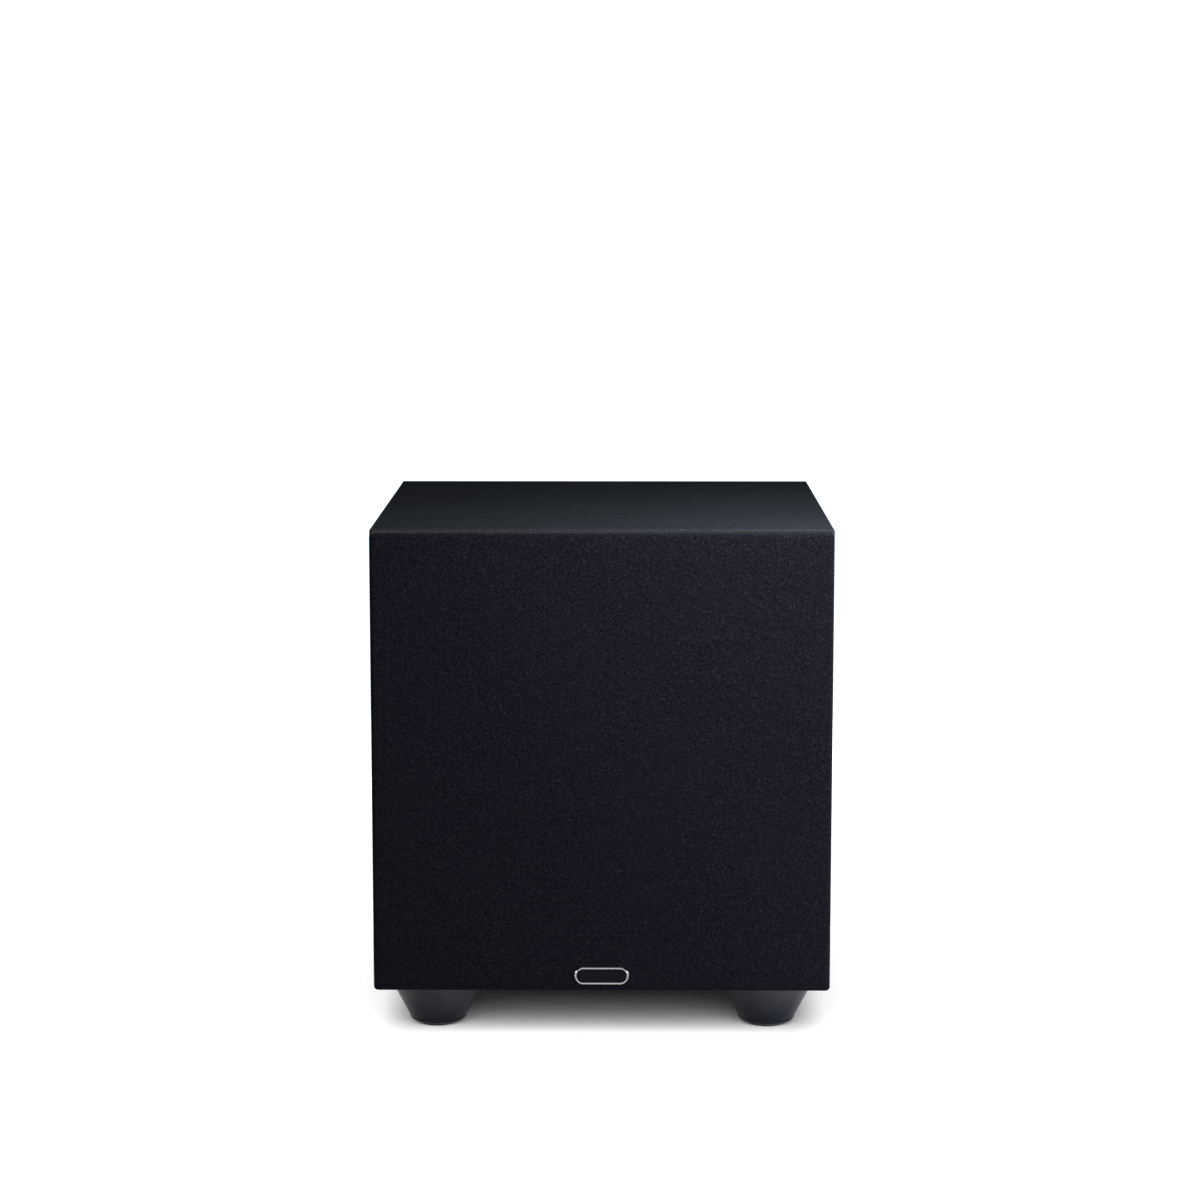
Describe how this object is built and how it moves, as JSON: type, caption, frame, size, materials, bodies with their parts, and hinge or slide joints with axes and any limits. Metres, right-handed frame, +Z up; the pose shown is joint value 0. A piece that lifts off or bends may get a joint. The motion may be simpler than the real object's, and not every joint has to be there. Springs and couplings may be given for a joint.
{
  "type": "powered subwoofer",
  "caption": "Compact front-firing powered subwoofer: square wrapped cabinet on round feet, with a pull-off cloth grille and a rear amplifier and vent.",
  "frame": {"origin": "on the floor, under the middle of the object's box", "axes": "+Z up, the grille faces -Y, +X is to the right of a viewer who faces the grille"},
  "size_m": [0.338, 0.3714, 0.3803],
  "materials": {
    "cabinet_wrap": "black vinyl wrap over MDF, satin",
    "baffle_paint": "black painted MDF, matt",
    "raw_board": "bare MDF",
    "wadding": "grey felt wadding",
    "foot_plastic": "moulded plastic, satin",
    "foot_rubber": "soft rubber",
    "black_screws": "black-oxide steel",
    "frame_plastic": "moulded plastic",
    "grille_knit": "fine black polyester knit",
    "badge_metal": "polished",
    "socket_rubber": "moulded rubber",
    "basket_metal": "cast alloy, black powder coat",
    "seal_foam": "closed-cell foam",
    "surround_rubber": "butyl rubber, satin",
    "cone_paper": "coated paper pulp, black",
    "former_foil": "thin rolled aluminium",
    "copper": "enamelled copper",
    "spider_cloth": "resin-dipped woven cloth",
    "zinc_steel": "zinc-plated steel",
    "ferrite": "sintered ferrite",
    "terminal_board": "phenolic board and tinned tabs",
    "wire_jacket": "PVC insulation",
    "vent_plastic": "moulded plastic, satin",
    "plate_paint": "black powder coat",
    "sink_anodised": "black anodised",
    "knob_plastic": "moulded plastic",
    "shaft_steel": "turned steel",
    "control_metal": "plated steel case",
    "contact_gold": "gold plated",
    "insulator": "moulded insulator",
    "jack_plastic": "moulded plastic",
    "lamp_lens": "light pipe",
    "lever_plastic": "moulded plastic",
    "inlet_plastic": "moulded plastic",
    "pin_nickel": "nickel plated",
    "fuse_glass": "glass tube with plated caps",
    "rocker_plastic": "moulded plastic",
    "circuit_laminate": "glass-epoxy laminate",
    "post_brass": "turned brass",
    "core_ferrite": "ferrite core and taped winding",
    "can_sleeve": "sleeved aluminium can"
  },
  "bodies": {
    "cabinet": {"top_board": "cabinet_wrap", "bottom_board": "cabinet_wrap", "left_board": "cabinet_wrap", "right_board": "cabinet_wrap", "front_baffle": "baffle_paint", "rear_panel": "baffle_paint", "window_brace": "raw_board", "damping_pads": "wadding", "foot_front_left": "foot_plastic", "foot_front_right": "foot_plastic", "foot_rear_left": "foot_plastic", "foot_rear_right": "foot_plastic", "foot_pads": "foot_rubber", "foot_screws": "black_screws", "grille_sockets": "socket_rubber", "basket": "basket_metal", "basket_seal": "seal_foam", "surround": "surround_rubber", "spider": "spider_cloth", "top_plate": "zinc_steel", "magnet": "ferrite", "pole_yoke": "zinc_steel", "driver_screws": "black_screws", "terminal_strip": "terminal_board", "speaker_wires": "wire_jacket", "port_tube": "vent_plastic", "amp_plate": "plate_paint", "amp_gasket": "seal_foam", "plate_screws": "black_screws", "heat_sink": "sink_anodised", "pot_bodies": "control_metal", "rca_shells": "contact_gold", "rca_cores": "insulator", "trigger_jack": "jack_plastic", "status_lamp": "lamp_lens", "switch_bodies": "control_metal", "power_inlet": "inlet_plastic", "inlet_pins": "pin_nickel", "rocker_frame": "rocker_plastic", "circuit_board": "circuit_laminate", "board_standoffs": "post_brass", "transformer": "core_ferrite", "capacitors": "can_sleeve"},
    "grille": {"grille_frame": "frame_plastic", "grille_cloth": "grille_knit", "badge": "badge_metal", "grille_pegs": "frame_plastic"},
    "cone_assembly": {"cone": "cone_paper", "dust_cap": "cone_paper", "coil_former": "former_foil", "coil_winding": "copper"},
    "level_control": {"level_knob": "knob_plastic", "level_shaft": "shaft_steel"},
    "cutoff_control": {"cutoff_knob": "knob_plastic", "cutoff_shaft": "shaft_steel"},
    "mode_switch_lever": {"mode_lever": "lever_plastic"},
    "phase_switch_lever": {"phase_lever": "lever_plastic"},
    "power_rocker": {"rocker": "rocker_plastic"},
    "fuse_tray": {"fuse_drawer": "inlet_plastic", "fuse": "fuse_glass"}
  },
  "joints": [
    {"name": "grille_pull", "type": "slide", "parent": "cabinet", "child": "grille", "axis": [0, -1, 0], "range_m": [0, 0.1]},
    {"name": "cone_excursion", "type": "slide", "parent": "cabinet", "child": "cone_assembly", "axis": [0, -1, 0], "range_m": [-0.01, 0.01], "stiffness_N_per_m": 1800, "deforming": ["surround", "spider"]},
    {"name": "level_knob_turn", "type": "hinge", "parent": "cabinet", "child": "level_control", "pos_m": [0.088, 0.1707, 0.1978], "axis": [0, -1, 0], "range_deg": [-150, 150]},
    {"name": "cutoff_knob_turn", "type": "hinge", "parent": "cabinet", "child": "cutoff_control", "pos_m": [0.088, 0.1707, 0.1498], "axis": [0, -1, 0], "range_deg": [-150, 150]},
    {"name": "mode_switch_slide", "type": "slide", "parent": "cabinet", "child": "mode_switch_lever", "axis": [-1, 0, 0], "range_m": [-0.0028, 0.0028]},
    {"name": "phase_switch_slide", "type": "slide", "parent": "cabinet", "child": "phase_switch_lever", "axis": [-1, 0, 0], "range_m": [0, 0.0056]},
    {"name": "power_rocker_tilt", "type": "hinge", "parent": "cabinet", "child": "power_rocker", "pos_m": [-0.086, 0.1702, 0.1958], "axis": [1, 0, 0], "range_deg": [0, 18]},
    {"name": "fuse_drawer_pull", "type": "slide", "parent": "cabinet", "child": "fuse_tray", "axis": [0, 1, 0], "range_m": [0, 0.012]}
  ]
}
